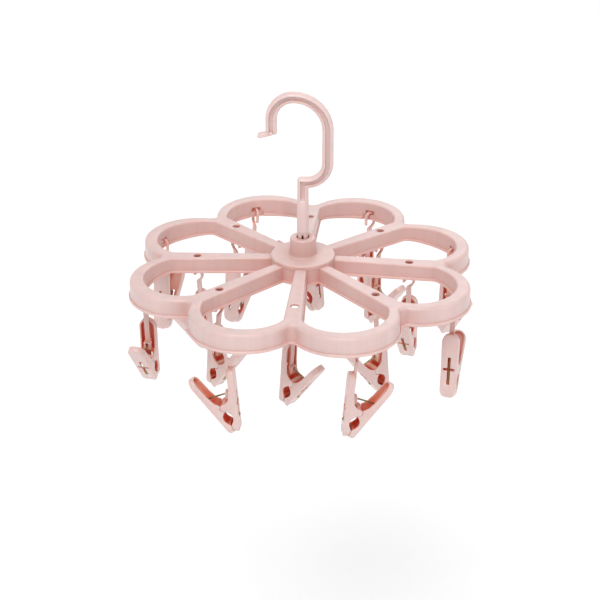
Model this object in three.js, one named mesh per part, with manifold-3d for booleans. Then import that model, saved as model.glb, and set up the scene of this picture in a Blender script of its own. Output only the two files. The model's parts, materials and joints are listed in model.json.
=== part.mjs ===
// Clip drying hanger: a flower of eight petals and eight spokes, moulded as one inverted-U channel, that
// turns under a rail hook. A spring clip hangs from every spoke and from the middle of every petal.
// Millimetres, +Z up. The origin is where the rail carries the hook, straight above the swivel axis.
// The hook's plane is XZ and one spoke points along -Y.
import * as THREE from 'three';
import { mergeVertices } from 'three/addons/utils/BufferGeometryUtils.js';
import Module from 'manifold-3d';

const wasm = await Module();
wasm.setup();
const { Manifold, Mesh } = wasm;

const TAU = 2 * Math.PI;
const rad = THREE.MathUtils.degToRad;

// ---- Frame. Heights are from the rim's top face.
const PETALS = 8;
const SECTOR = TAU / PETALS;
const SPAN = 250; // overall width, lip to lip
const PETAL_R = 39; // outside of one petal
const LIP = 1.1; // bottom lip, proud of each wall
const LIP_H = 2.0;
const PETAL_C = (SPAN / 2 - LIP - PETAL_R) / Math.cos(SECTOR / 2); // petal centre to swivel axis
const NOTCH_R = 4.5; // rounded valley between two petals
const HOLE_C = 88.5; // centre and radius of the round end of a petal's opening
const HOLE_R = 32;
const RIM_H = 14.6;
const WALL = 1.5;
const PLATE = 1.8; // top wall of the channel
const EDGE = 1.6; // rounding of the top edges
const HUB_R = 23.5;
const SPOKE_HALF = { hub: 4.3, rim: 6.4 }; // half widths where the spoke leaves the hub and meets the rim
const SPOKE_END = 98;
const CROWN = 2.9; // the spokes climb this far from rim to hub
const SPOKE_RELIEF = { hub: 5.1, rim: 3.5 }; // how far their underside is above the rim's
const DISC_TOP = CROWN + 2.6;
const DISC_R = 23.9;
const COLLAR = { foot: 10.2, top: 9.5, z: 19.2 };
const BORE_R = 4.7;
const BOSS_BOTTOM = -4;
const EYELET_R = 79; // round hole in each spoke's top, with a cross bar under it
const EYELET_HOLE_R = 3;
const BAR = { r: 1.1, top: -7, length: 10.6 };
const STRIP_TOP = -10.1; // petals: the strip of inner wall left under the hook slot
const SLOT = { width: 7.5, height: 3.4 };

// ---- Hook. Heights are from the rim's top face too, and the bar's centre line lies in XZ.
const HOOK_R = 4.2; // the bar is round, with a groove in its front and back
const GROOVE_HALF = 1.7;
const WEB_HALF = 1.2;
const STEM_FOOT = 23.2;
const STEM_ROUND_TOP = 48.7;
const ARM_Z = 62.3;
const REACH_X = 18; // centre line of the upright part
const ELBOW_R = 15.4;
const CROOK_Z = 102.4; // the upright part ends here
const CROWN_R = 24.6; // right half of the top curve
const NOSE_R = 16.2; // left half of the top curve
const NOSE_END = 99.3;
const TAB = { length: 8.9, thick: 2.8, wide: 6, droop: rad(14) };
const NECK_R = 3.8;
const BARB_R = 5.6;
const SPLIT = 1.6;
const RUN = 0.3; // clearance between pieces that move on each other

// ---- Clip. Lengths along a jaw are from its tip, depths are from its outer face.
const JAW_L = 50;
const JAW_HALF = 6.25;
const JAW_WALL = 1.3;
const TIP_DEPTH = 3.7;
const TIP = { round: 5, flat: 1.2 }; // a quarter ellipse rounds each corner of a jaw's tip
const SPLAY = rad(32); // between the two outer faces at rest
const PIVOT_S = 20.5;
const BOSS_R = 2.6;
const ROLLER_R = 2.2; // the cross bar between the hooked jaw's bosses
const NIP = 6.5; // length of tip that meets the other tip
const LENS_TOP = 17.6;
const SOLE = TIP_DEPTH + PIVOT_S * Math.tan(SPLAY / 2); // depth of the pivot
const ARM_DEPTH = 4.6; // the hanging arm runs at this depth in the hooked jaw
const ARM = { thick: 2, half: 1.9, drop: 22.5 }; // drop: from the crook's inner apex to the handle's end
const LOOP = { inner: 2.9, outer: 4.7, free: 9.2 };
const WIRE_R = 0.6;
const WIRE_LIFT = 8; // how far above the pivot the wire crosses between the jaws
const EYE_R = 1.7; // hole for the wire through the arm
const SADDLE = { half: 2.8, top: 8, out: 2.4 }; // block round the wire, its top above the arm's foot
const CROSS = { long: [10.6, 32], wide: [21.5, 23.5], half: [1.1, 4.6] }; // slots in a jaw's outer face
const SAG = { spoke: 0.6, petal: 0.9 }; // from the crook's apex down to the bar or strip it rests on
const DENSITY = { plastic: 1100, steel: 7850 };

// How each clip hangs, from the front spoke round to the right: which way it splays along its bar, and how
// far it has turned on the bar, in degrees. A crook is loose on its bar, so this is one possible rest state.
const HANG = [
  [1, -36], [1, -12], [-1, -7], [1, 10], [-1, -14], [-1, 8], [-1, 5], [-1, -34],
  [1, -30], [-1, 10], [-1, 11], [-1, 3], [1, -36], [1, -34], [1, 5], [-1, 21],
];

const polar = (r, a) => [r * Math.cos(a), r * Math.sin(a)];
const points2 = (pairs) => pairs.map(([u, v]) => new THREE.Vector2(u, v));
const rectangle = (half, v0, v1) =>
  new THREE.Shape(points2([[-half, v0], [half, v0], [half, v1], [-half, v1]]));
const clamp01 = (t) => Math.min(1, Math.max(0, t));

// ---- Joining and cutting

function toSolid(geometry) {
  const g = geometry.clone();
  g.deleteAttribute('normal');
  g.deleteAttribute('uv');
  const merged = mergeVertices(g, 1e-4);
  return new Manifold(new Mesh({
    numProp: 3,
    vertProperties: new Float32Array(merged.attributes.position.array),
    triVerts: new Uint32Array(merged.index.array),
  }));
}

function toGeometry(solid) {
  const mesh = solid.getMesh();
  const g = new THREE.BufferGeometry();
  g.setAttribute('position', new THREE.BufferAttribute(new Float32Array(mesh.vertProperties), 3));
  g.setIndex(new THREE.BufferAttribute(new Uint32Array(mesh.triVerts), 1));
  return g;
}

const join = (solids) => solids.reduce((a, b) => a.add(b));
const cut = (solid, cutters) => cutters.reduce((a, b) => a.subtract(b), solid);

// ---- Outlines and extrusions

function arc(cx, cy, r, from, to, n) {
  return Array.from({ length: n + 1 }, (_, i) => {
    const a = from + ((to - from) * i) / n;
    return new THREE.Vector2(cx + r * Math.cos(a), cy + r * Math.sin(a));
  });
}

function extrude(shape, z0, z1, bevel = 0) {
  const g = new THREE.ExtrudeGeometry(shape, {
    depth: z1 - z0 - 2 * bevel, steps: 1, curveSegments: 1, bevelEnabled: bevel > 0,
    bevelThickness: bevel, bevelSize: bevel, bevelOffset: -bevel, bevelSegments: 1,
  });
  return g.translate(0, 0, z0 + bevel);
}

function block(x0, x1, y0, y1, z0, z1) {
  return new THREE.BoxGeometry(x1 - x0, y1 - y0, z1 - z0)
    .translate((x0 + x1) / 2, (y0 + y1) / 2, (z0 + z1) / 2);
}

// A solid of revolution about Z from a profile of [radius, height] pairs that starts and ends on the axis.
const turned = (profile, n) =>
  new THREE.LatheGeometry(profile.map(([r, z]) => new THREE.Vector2(r, z)), n).rotateX(Math.PI / 2);

const tube = (x, y, r, z0, z1, n) =>
  turned([[0, z0], [r, z0], [r, z1], [0, z1]], n).translate(x, y, 0);

// ---- Frame

// The flower's outside, moved in by inset: petal arcs joined by a circle rolled into each valley.
function flower(inset) {
  const half = SECTOR / 2;
  const valley = PETAL_C * Math.cos(half)
    + Math.sqrt((PETAL_R + NOTCH_R) ** 2 - (PETAL_C * Math.sin(half)) ** 2);
  const swing = Math.atan2(valley * Math.sin(half), valley * Math.cos(half) - PETAL_C);
  const points = [];
  for (let k = 0; k < PETALS; k += 1) {
    const a = petalAngle(k);
    points.push(...arc(...polar(PETAL_C, a), PETAL_R - inset, a - swing, a + swing, 10));
    points.push(...arc(...polar(valley, a + half), NOTCH_R + inset,
      a + swing + Math.PI, a + SECTOR - swing + Math.PI, 3).slice(1, -1));
  }
  return points;
}

// One petal's opening, grown by d: a round end, two spoke sides and the hub.
function opening(k, d) {
  const half = SECTOR / 2;
  const along = new THREE.Vector2(...polar(1, half));
  const side = new THREE.Vector2(Math.sin(half), -Math.cos(half));
  const edge = (r, w) => along.clone().multiplyScalar(r).addScaledVector(side, w - d);
  const a = edge(HUB_R, SPOKE_HALF.hub);
  const dir = edge(SPOKE_END, SPOKE_HALF.rim).sub(a).normalize();
  const meet = (cx, r) => { // where the spoke's side leaves a circle centred on the petal's axis
    const from = a.clone().sub(new THREE.Vector2(cx, 0));
    const b = from.dot(dir);
    return a.clone().addScaledVector(dir, -b + Math.sqrt(b * b - from.lengthSq() + r * r));
  };
  const outer = meet(HOLE_C, HOLE_R + d);
  const inner = meet(0, HUB_R - d);
  const sweep = Math.atan2(outer.y, outer.x - HOLE_C);
  const tuck = Math.atan2(inner.y, inner.x);
  const points = [...arc(HOLE_C, 0, HOLE_R + d, -sweep, sweep, 11), ...arc(0, 0, HUB_R - d, tuck, -tuck, 2)];
  return points.map((p) => p.rotateAround(new THREE.Vector2(), petalAngle(k)));
}

function petalAngle(k) {
  return -TAU / 4 + SECTOR * (k + 0.5);
}

function spokeAngle(k) {
  return -TAU / 4 + SECTOR * k;
}

function plan(inset) {
  const shape = new THREE.Shape(flower(inset));
  for (let k = 0; k < PETALS; k += 1) shape.holes.push(new THREE.Path(opening(k, inset).reverse()));
  return shape;
}

// The spokes climb towards the hub, and their channel is shallower than the rim's. The outer wall is level.
function crown(geometry) {
  const p = geometry.attributes.position;
  for (let i = 0; i < p.count; i += 1) {
    const [x, y, z] = [p.getX(i), p.getY(i), p.getZ(i)];
    const r = Math.hypot(x, y);
    const nearest = Math.round((Math.atan2(y, x) + TAU / 4) / SECTOR - 0.5);
    const [cx, cy] = polar(PETAL_C, petalAngle(nearest));
    const inside = Math.hypot(x - cx, y - cy) < PETAL_R - WALL - 1 || r < SPOKE_END;
    const top = CROWN * clamp01((112 - r) / (112 - HUB_R));
    const inwards = clamp01((r - HUB_R) / (SPOKE_END - HUB_R));
    const level = SPOKE_RELIEF.hub + (SPOKE_RELIEF.rim - SPOKE_RELIEF.hub) * inwards;
    const relief = inside ? level * clamp01((HOLE_C + HOLE_R - r) / (HOLE_C + HOLE_R - SPOKE_END)) : 0;
    const down = clamp01(-z / RIM_H);
    p.setZ(i, z + top * (1 - down) + relief * down);
  }
  return geometry;
}

function makeFrame() {
  const shell = cut(
    join([toSolid(extrude(plan(0), -RIM_H, 0, EDGE)), toSolid(extrude(plan(-LIP), -RIM_H, LIP_H - RIM_H))]),
    [toSolid(extrude(plan(WALL), -RIM_H - 1, -PLATE))],
  );
  const crowned = toSolid(crown(toGeometry(shell)));
  const disc = toSolid(turned([[0, CROWN - 1.2], [DISC_R - 0.6, CROWN - 1.2], [DISC_R, CROWN],
    [DISC_R, DISC_TOP - 1.2], [DISC_R - 1.2, DISC_TOP], [0, DISC_TOP]], 32));
  const collar = toSolid(turned([[0, BOSS_BOTTOM], [COLLAR.top, BOSS_BOTTOM], [COLLAR.foot, DISC_TOP],
    [COLLAR.top, COLLAR.z - 1.5], [COLLAR.top - 1.5, COLLAR.z], [0, COLLAR.z]], 24));
  const solids = [crowned, disc, collar];
  const cuts = [toSolid(tube(0, 0, BORE_R, BOSS_BOTTOM - 1, COLLAR.z + 1, 20))];
  for (let k = 0; k < PETALS; k += 1) {
    const bar = new THREE.CylinderGeometry(BAR.r, BAR.r, BAR.length, 8)
      .translate(EYELET_R, 0, BAR.top - BAR.r).rotateZ(spokeAngle(k));
    solids.push(toSolid(bar));
    cuts.push(toSolid(tube(EYELET_R, 0, EYELET_HOLE_R, -0.7, 3, 12).rotateZ(spokeAngle(k))));
    const wall = HOLE_C + HOLE_R;
    cuts.push(toSolid(block(wall - 2, wall + WALL + 1, -SLOT.width / 2, SLOT.width / 2,
      STRIP_TOP, STRIP_TOP + SLOT.height).rotateZ(petalAngle(k))));
    cuts.push(toSolid(block(wall - 3, wall, -6, 6, -RIM_H - 1, STRIP_TOP).rotateZ(petalAngle(k))));
  }
  return toGeometry(cut(join(solids), cuts));
}

// ---- Hook

function hookLine(n) {
  const cx = REACH_X - CROWN_R;
  return [
    ...arc(REACH_X - ELBOW_R, ARM_Z + ELBOW_R, ELBOW_R, -TAU / 4, 0, n),
    ...arc(cx, CROOK_Z, CROWN_R, 0, TAU / 4, n + 3),
    ...arc(cx, CROOK_Z + CROWN_R - NOSE_R, NOSE_R, TAU / 4, TAU / 2, n + 2).slice(1),
    new THREE.Vector2(cx - NOSE_R, NOSE_END),
  ];
}

// A closed strip of even width along a line of points.
function ribbon(line, half) {
  const offset = (s) => line.map((p, i) => {
    const before = p.clone().sub(line[i - 1] ?? p).normalize();
    const after = (line[i + 1] ?? p).clone().sub(p).normalize();
    const way = before.add(after).normalize();
    const step = (line[i + 1] && line[i - 1]) ? way.dot(line[i + 1].clone().sub(p).normalize()) : 1;
    return new THREE.Vector2(p.x - (s * half * way.y) / step, p.y + (s * half * way.x) / step);
  });
  return new THREE.Shape([...offset(1), ...offset(-1).reverse()]);
}

// Stands a shape drawn in x and z up in the XZ plane, from y0 to y1.
const upright = (shape, y0, y1) => extrude(shape, -y1, -y0).rotateX(Math.PI / 2);

function makeHook() {
  const line = hookLine(5);
  const path = new THREE.CatmullRomCurve3([new THREE.Vector2(0, ARM_Z), ...line]
    .map((p) => new THREE.Vector3(p.x, 0, p.y)), false, 'centripetal');
  const ring = new THREE.Shape(arc(0, 0, HOOK_R, 0, TAU, 10).slice(0, -1));
  const bar = new THREE.ExtrudeGeometry(ring, { extrudePath: path, steps: 26, curveSegments: 1 });
  const stem = turned([
    [0, -10.5], [2.6, -10.5], [BARB_R, BOSS_BOTTOM - 2], [BARB_R, BOSS_BOTTOM - RUN],
    [NECK_R, BOSS_BOTTOM - RUN], [NECK_R, STEM_FOOT - 0.4], [HOOK_R, STEM_FOOT - 0.2],
    [4.55, STEM_FOOT + 0.6], [HOOK_R, STEM_ROUND_TOP],
    [HOOK_R, ARM_Z + 1.2], [3.1, ARM_Z + 3], [1.4, ARM_Z + 3.9], [0, ARM_Z + 4],
  ], 16);
  const tab = new THREE.Shape([...arc(0, 0, TAB.thick / 2, -TAU / 4, TAU / 4, 4),
    ...arc(-TAB.length, 0, TAB.thick / 2, TAU / 4, 3 * TAU / 4, 4)]);
  const finger = upright(tab, -TAB.wide / 2, TAB.wide / 2)
    .rotateY(-TAB.droop).translate(REACH_X - CROWN_R - NOSE_R, 0, NOSE_END + 0.6);
  const groove = [new THREE.Vector2(0, STEM_ROUND_TOP + 1), new THREE.Vector2(0, ARM_Z), ...line];
  groove[groove.length - 1].y += 3;
  const band = ribbon(groove, GROOVE_HALF);
  return toGeometry(cut(join([toSolid(stem), toSolid(bar), toSolid(finger)]), [
    toSolid(upright(band, WEB_HALF, HOOK_R + 1)),
    toSolid(upright(band, -HOOK_R - 1, -WEB_HALF)),
    toSolid(block(-SPLIT / 2, SPLIT / 2, -8, 8, -12, STEM_FOOT - 1.6)),
  ]));
}

// ---- Clip. In jaw coordinates x is depth, y is across and z is along, with the pivot at the origin.

// Stands an outline drawn across and along the jaw up through its depth.
function faceOn(shape, d0, d1) {
  const turn = new THREE.Matrix4().makeBasis(
    new THREE.Vector3(0, 1, 0), new THREE.Vector3(0, 0, 1), new THREE.Vector3(1, 0, 0));
  return extrude(shape, d0 - SOLE, d1 - SOLE).applyMatrix4(turn).translate(0, 0, -PIVOT_S);
}

const sideOn = (shape, half) => upright(shape, -half, half).translate(-SOLE, 0, -PIVOT_S);

// A jaw's face: a handle with a half-round end and a tip with a rounded end.
function faceOutline(inset, foot) {
  const half = JAW_HALF - inset;
  const end = arc(0, JAW_L - JAW_HALF, half, 0, TAU / 2, inset > 0 ? 5 : 7);
  if (foot > 0) return new THREE.Shape([...end, ...points2([[-half, foot], [half, foot]])]);
  const corner = (side, from) => arc(0, 0, 1, from, from + TAU / 4, 4).map((p) => new THREE.Vector2(
    side * TIP.flat + p.x * (half - TIP.flat), TIP.round * (1 + p.y)));
  return new THREE.Shape([...end, ...corner(-1, TAU / 2), ...corner(1, 3 * TAU / 4)]);
}

// A jaw's side. The lower part follows the plane where the jaws meet, opens into a lens below the pivot, and
// carries half of the pivot: a round boss on the hooked jaw, a round seat on the plain one.
function sideOutline(hooked) {
  const lean = SPLAY / 2;
  const plane = (s, back = RUN / 2) => [TIP_DEPTH + s * Math.tan(lean) - back, s];
  const about = (r, a) => [SOLE + r * Math.sin(lean + a), PIVOT_S + r * Math.cos(lean + a)];
  const r = hooked ? BOSS_R : BOSS_R + RUN;
  const [from, to, steps] = hooked ? [TAU / 2 - 0.06, -0.35, 7] : [-TAU / 2 + 0.06, -0.75, 5];
  const pivot = Array.from({ length: steps + 1 }, (_, i) => about(r, from + ((to - from) * i) / steps));
  const points = [
    [0, 1.6], [1.1, 0], plane(0), plane(NIP), plane(9, 1.8), plane(12, 3.1), plane(15, 3.5),
    plane(LENS_TOP - 0.5, 2.4), plane(LENS_TOP), ...pivot, [5.9, 27], [4.9, 34], [4.2, JAW_L], [0, JAW_L],
  ];
  return new THREE.Shape(points2(points));
}

function makeJaw(hooked) {
  const face = toSolid(faceOn(faceOutline(0, 0), 0, 14));
  const hollow = faceOn(faceOutline(JAW_WALL, NIP + 1), JAW_WALL, 15);
  const down = faceOn(rectangle(CROSS.half[0], ...CROSS.long), -1, JAW_WALL + 0.7);
  const across = faceOn(rectangle(CROSS.half[1], ...CROSS.wide), -1, JAW_WALL + 0.7);
  return cut(face.intersect(toSolid(sideOn(sideOutline(hooked), 8))), [hollow, across, down].map(toSolid));
}

// The arm lies in the hooked jaw's channel and ends in a loop that hangs on the bar. Drawn across and up.
function makeArm() {
  const top = JAW_L + ARM.drop - LOOP.inner; // centre of the loop
  const foot = PIVOT_S + 3;
  const [back, front] = [ARM_DEPTH - ARM.thick / 2, ARM_DEPTH + ARM.thick / 2];
  const end = top - LOOP.free; // free end of the loop
  const outline = [
    ...arc(0, top, LOOP.outer, TAU / 2, 0, 6),
    ...points2([[LOOP.outer, top - 5.4], [ARM.half, top - 10], [ARM.half, foot + SADDLE.top + 1.5],
      [SADDLE.half, foot + SADDLE.top], [SADDLE.half, foot], [-SADDLE.half, foot],
      [-SADDLE.half, foot + SADDLE.top], [-ARM.half, foot + SADDLE.top + 1.5],
      [-ARM.half, top - 10.6], [LOOP.inner, top - 5.8]]),
    ...arc(0, top, LOOP.inner, 0, TAU / 2, 6),
    ...points2([[-LOOP.inner, end + 4], [-2.3, end + 3.4], [-3.6, end + 2], [-LOOP.outer, end + 3]]),
  ];
  const arm = faceOn(new THREE.Shape(outline), back, front);
  const web = faceOn(rectangle(5.5, foot - 0.4, foot + 2.6), back, front);
  const saddle = faceOn(rectangle(SADDLE.half, foot + 2.6, foot + SADDLE.top), ARM_DEPTH, front + SADDLE.out);
  const roller = new THREE.CylinderGeometry(ROLLER_R, ROLLER_R, 2 * (JAW_HALF - JAW_WALL) + 1, 10);
  const rise = WIRE_LIFT / Math.cos(SPLAY / 2) + (SOLE - ARM_DEPTH) * Math.tan(SPLAY / 2);
  const eye = new THREE.CylinderGeometry(EYE_R, EYE_R, 9, 8).rotateZ(TAU / 4)
    .translate(ARM_DEPTH - SOLE, 0, rise);
  return { arm: join([arm, web, saddle, roller].map(toSolid)), eye: toSolid(eye) };
}

// The spring is one wire. Each end runs up inside a jaw from the slot's foot, where its tip looks out, and
// the middle crosses between the jaws square to the plane where they meet.
function makeSpring() {
  const lean = SPLAY / 2;
  const across = new THREE.Vector3(0, 1, 0);
  const leg = [[-0.5, 12.4], [0.4, 14.2], [1.7, 17], [2, 21], [2, 26], [2.2, 28.6], [3, 30.3]]
    .map(([d, s]) => new THREE.Vector3(d - SOLE, 0, s - PIVOT_S).applyAxisAngle(across, -lean));
  const middle = new THREE.Vector3(0, 0, WIRE_LIFT);
  const other = leg.map((p) => new THREE.Vector3(-p.x, 0, p.z)).reverse();
  const path = new THREE.CatmullRomCurve3([...leg, middle, ...other]
    .map((p) => p.applyAxisAngle(across, lean)), false, 'centripetal');
  const ring = new THREE.Shape(arc(0, 0, WIRE_R, 0, TAU, 5).slice(0, -1));
  return new THREE.ExtrudeGeometry(ring, { extrudePath: path, steps: 13, curveSegments: 1 });
}

// Turned half a turn about the line where the jaws meet, a jaw becomes the other jaw of its clip.
function opposite(geometry) {
  const meet = new THREE.Vector3(Math.sin(SPLAY / 2), 0, Math.cos(SPLAY / 2));
  return geometry.applyMatrix4(new THREE.Matrix4().makeRotationAxis(meet, Math.PI));
}

// Volume, and centre of volume, of a closed geometry.
function volume(geometry) {
  const g = geometry.index ? geometry.toNonIndexed() : geometry;
  const p = g.attributes.position;
  const centre = new THREE.Vector3();
  const [a, b, c] = [new THREE.Vector3(), new THREE.Vector3(), new THREE.Vector3()];
  let total = 0;
  for (let i = 0; i < p.count; i += 3) {
    a.fromBufferAttribute(p, i);
    b.fromBufferAttribute(p, i + 1);
    c.fromBufferAttribute(p, i + 2);
    const v = a.dot(b.clone().cross(c)) / 6;
    total += v;
    centre.addScaledVector(a.clone().add(b).add(c), v / 4);
  }
  return { total, centre: centre.divideScalar(total) };
}

// The clip's three pieces, with the crook's inner apex at the origin, the arm straight down and the plain jaw
// splayed towards +X.
function makeClip() {
  const { arm, eye } = makeArm();
  const pieces = {
    hooked_jaw: toGeometry(makeJaw(true).add(arm).subtract(eye)),
    plain_jaw: opposite(toGeometry(makeJaw(false))),
    spring: makeSpring(),
  };
  const pivot = [SOLE - ARM_DEPTH, 0, PIVOT_S - JAW_L - ARM.drop];
  for (const g of Object.values(pieces)) g.translate(...pivot);
  return pieces;
}

// How far the clip leans so that its weight hangs straight below the bar it turns on, at the given drop
// below the crook's apex.
function restLean(pieces, drop) {
  const moment = new THREE.Vector3();
  let mass = 0;
  for (const [name, g] of Object.entries(pieces)) {
    const { total, centre } = volume(g);
    const m = total * (name === 'spring' ? DENSITY.steel : DENSITY.plastic);
    moment.addScaledVector(centre, m);
    mass += m;
  }
  moment.divideScalar(mass);
  return Math.atan2(moment.x, -moment.z - drop);
}

// ---- The whole hanger

const material = (color) => new THREE.MeshStandardMaterial({ color, roughness: 0.45 });
const PINK = material('#e6c4bd');
const STEEL = material('#8d7a4c');
const STEEL_PARTS = ['spring'];

// The height of the rail that carries the hook, from the rim's top: the inside of the hook's top curve.
const RAIL_Z = CROOK_Z + Math.sqrt((CROWN_R - HOOK_R) ** 2 - (CROWN_R - REACH_X) ** 2);

const hanger = new THREE.Group();

function addMesh(name, geometry, colour) {
  const mesh = new THREE.Mesh(geometry.translate(0, 0, -RAIL_Z), colour);
  mesh.name = name;
  hanger.add(mesh);
}

addMesh('hook', makeHook(), PINK);
addMesh('frame', makeFrame(), PINK);

const clip = makeClip();
const stations = [
  { place: 'spoke', r: EYELET_R, z: BAR.top, slack: SAG.spoke, drop: SAG.spoke + BAR.r },
  { place: 'petal', r: HOLE_C + HOLE_R + WALL / 2, z: STRIP_TOP, slack: SAG.petal, drop: SAG.petal + 0.7 },
];
HANG.forEach(([side, turn], i) => {
  const { place, r, z, slack, drop } = stations[i % 2];
  const around = spokeAngle(i / 2);
  const face = around + (side * TAU) / 4 + rad(turn);
  const [x, y] = polar(r, around);
  const pose = new THREE.Matrix4().makeTranslation(x, y, z - (drop - slack))
    .multiply(new THREE.Matrix4().makeRotationZ(face))
    .multiply(new THREE.Matrix4().makeRotationY(restLean(clip, drop)))
    .multiply(new THREE.Matrix4().makeTranslation(0, 0, drop));
  const number = Math.floor(i / 2) + 1;
  for (const [piece, g] of Object.entries(clip)) {
    const colour = STEEL_PARTS.includes(piece) ? STEEL : PINK;
    addMesh(`${piece}_${place}_${number}`, g.clone().applyMatrix4(pose), colour);
  }
});

export default hanger;
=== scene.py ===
"""Clip drying hanger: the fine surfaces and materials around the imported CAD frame.

Shapes are drawn in millimetres, with the same driving dimensions as the CAD part, and scaled to metres as
they become Blender meshes. Frame and hook heights are from the rim's top face, and jaw shapes are about the
clip's pivot.
"""

import json
import math

import bmesh
import bpy
import numpy as np
from mathutils import Matrix, Vector
from mathutils.geometry import delaunay_2d_cdt

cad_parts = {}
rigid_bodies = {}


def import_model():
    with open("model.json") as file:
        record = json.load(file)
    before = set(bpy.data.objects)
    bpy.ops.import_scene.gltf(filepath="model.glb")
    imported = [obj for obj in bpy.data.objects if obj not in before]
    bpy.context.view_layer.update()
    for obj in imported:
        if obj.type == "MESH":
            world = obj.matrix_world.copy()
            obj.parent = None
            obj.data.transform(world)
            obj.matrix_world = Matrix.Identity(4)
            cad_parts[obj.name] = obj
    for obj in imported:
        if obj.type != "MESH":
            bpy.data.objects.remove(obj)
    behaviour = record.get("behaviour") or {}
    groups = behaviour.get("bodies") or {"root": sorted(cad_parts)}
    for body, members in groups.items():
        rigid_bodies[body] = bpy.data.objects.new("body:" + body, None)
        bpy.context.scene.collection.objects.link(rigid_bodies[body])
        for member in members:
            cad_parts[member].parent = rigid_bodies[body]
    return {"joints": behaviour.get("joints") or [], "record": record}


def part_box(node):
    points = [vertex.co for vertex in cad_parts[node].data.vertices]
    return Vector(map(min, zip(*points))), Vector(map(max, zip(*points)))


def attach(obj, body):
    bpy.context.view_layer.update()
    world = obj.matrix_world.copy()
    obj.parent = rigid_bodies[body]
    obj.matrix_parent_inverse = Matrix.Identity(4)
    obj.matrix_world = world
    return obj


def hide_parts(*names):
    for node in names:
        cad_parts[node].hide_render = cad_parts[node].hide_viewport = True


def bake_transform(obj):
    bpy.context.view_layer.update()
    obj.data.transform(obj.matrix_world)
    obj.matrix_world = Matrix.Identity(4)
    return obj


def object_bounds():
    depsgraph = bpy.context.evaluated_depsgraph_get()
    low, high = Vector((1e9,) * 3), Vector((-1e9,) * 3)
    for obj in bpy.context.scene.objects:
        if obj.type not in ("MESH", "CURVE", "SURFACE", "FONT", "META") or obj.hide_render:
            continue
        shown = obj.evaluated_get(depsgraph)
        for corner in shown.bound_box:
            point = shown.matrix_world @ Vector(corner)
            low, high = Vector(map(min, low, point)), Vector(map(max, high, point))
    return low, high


for leftover in list(bpy.data.objects):
    bpy.data.objects.remove(leftover)
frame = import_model()
cad_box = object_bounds()

TAU = 2 * math.pi
MM = 0.001
WELD = 1e-6  # points closer than this, in metres, become one

# ---- Driving dimensions, as in the CAD part
PETALS = 8
SECTOR = TAU / PETALS
SPAN = 250
PETAL_R = 39
LIP = 1.1  # bottom lip, proud of each wall
LIP_TOP = -12.6
PETAL_C = (SPAN / 2 - LIP - PETAL_R) / math.cos(SECTOR / 2)
NOTCH_R = 4.5
HOLE_C, HOLE_R = 88.5, 32  # centre and radius of the round end of a petal's opening
RIM_H = 14.6
WALL = 1.5
PLATE = 1.8
OUTER_ROUND = 2.8  # rounding of the outer wall's top edge, and of the openings' edges
INNER_ROUND = 1.5
HUB_R = 23.5
SPOKE_HALF_HUB, SPOKE_HALF_RIM = 4.3, 6.4
SPOKE_END = 98
CROWN = 2.9
CROWN_END = 112
RELIEF_HUB, RELIEF_RIM = 5.1, 3.5
DISC_TOP = CROWN + 2.6
DISC_R = 23.9
DISC_ROUND, COLLAR_ROUND = 1.2, 1.6
COLLAR_FOOT, COLLAR_R, COLLAR_TOP = 10.2, 9.5, 19.2
BORE_R = 4.7
BOSS_BOTTOM = -4
SPOKE_SEEDS = np.arange(12, 108, 3.0)  # inner points along each spoke, which carry its climb to the hub
HUB_GAP_R = 7  # hole in the shell's top, which the hub covers
EYELET_R = 79
EYELET_HOLE_R = 3
BAR_R, BAR_TOP, BAR_HALF = 1.1, -7, 5
STRIP_TOP = -10.1
SLOT_WIDTH, SLOT_HEIGHT = 7.5, 3.4

HOOK_R = 4.2
GROOVE_HALF = 1.7
WEB_HALF = 1.2
STEM_FOOT = 23.2
STEM_ROUND_TOP = 48.7
ARM_Z = 62.3
CORNER_R = 2.5  # rounds only the outside of the sharp corner
REACH_X = 18
ELBOW_R = 15.4
CROOK_Z = 102.4
CROWN_R = 24.6
NOSE_R = 16.2
NOSE_END = 99.3
TAB_LENGTH, TAB_THICK, TAB_WIDE, TAB_DROOP = 8.9, 2.8, 6, math.radians(14)
NECK_R = 3.8
BARB_R = 5.5
SPLIT = 1.6
RUN = 0.3

JAW_L = 50
JAW_HALF = 6.25
JAW_WAIST = 5.95
JAW_WALL = 1.3
TIP_DEPTH = 3.7
TIP_ROUND, TIP_FLAT = 5, 1.2  # a quarter ellipse rounds each corner of a jaw's tip
SPLAY = math.radians(32)
PIVOT_S = 20.5
BOSS_R = 2.6
SEAT_SPAN = (-2.74, 2.58)  # where the plain jaw's round seat runs, along the jaw from the pivot
HOOKED_STEP, PLAIN_STEP = 0.19, 1.32  # how much shallower than the pivot each jaw's handle starts
ROLLER_R = 2.2
NIP = 6.5  # length of tip that meets the other tip
LENS_TOP, LENS_DEEP = 17.6, 3.55
SOLE = TIP_DEPTH + PIVOT_S * math.tan(SPLAY / 2)
ARM_DEPTH = 4.6
ARM_THICK, ARM_HALF, ARM_DROP = 2, 1.9, 22.5
LOOP_INNER, LOOP_OUTER, LOOP_FREE = 2.9, 4.7, 9.2
WIRE_R = 0.6
WIRE_LIFT = 8
EYE_R = 1.2
SADDLE_HALF, SADDLE_TOP, SADDLE_OUT = 2.8, 8, 2.4  # block round the wire, which stands out of the arm
ARM_FOOT = PIVOT_S + 3
CROSS_HALF, CROSS_LONG, CROSS_WIDE = (1.1, 4.2), (10.6, 32), (21.5, 23.5)  # slots in a jaw's outer face

rim_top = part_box("frame")[0].z / MM + RIM_H  # height of the rim's top face in the object's frame
bodies = frame["record"]["behaviour"]["bodies"]
joints = {j["name"]: j for j in frame["joints"]}


# ---- Outlines: arrays of 2-D points
def polar(r, a):
    return np.array([r * math.cos(a), r * math.sin(a)])


def arc(cx, cy, r, start, end, n):
    a = np.linspace(start, end, n + 1)
    return np.stack([cx + r * np.cos(a), cy + r * np.sin(a)], 1)


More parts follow.
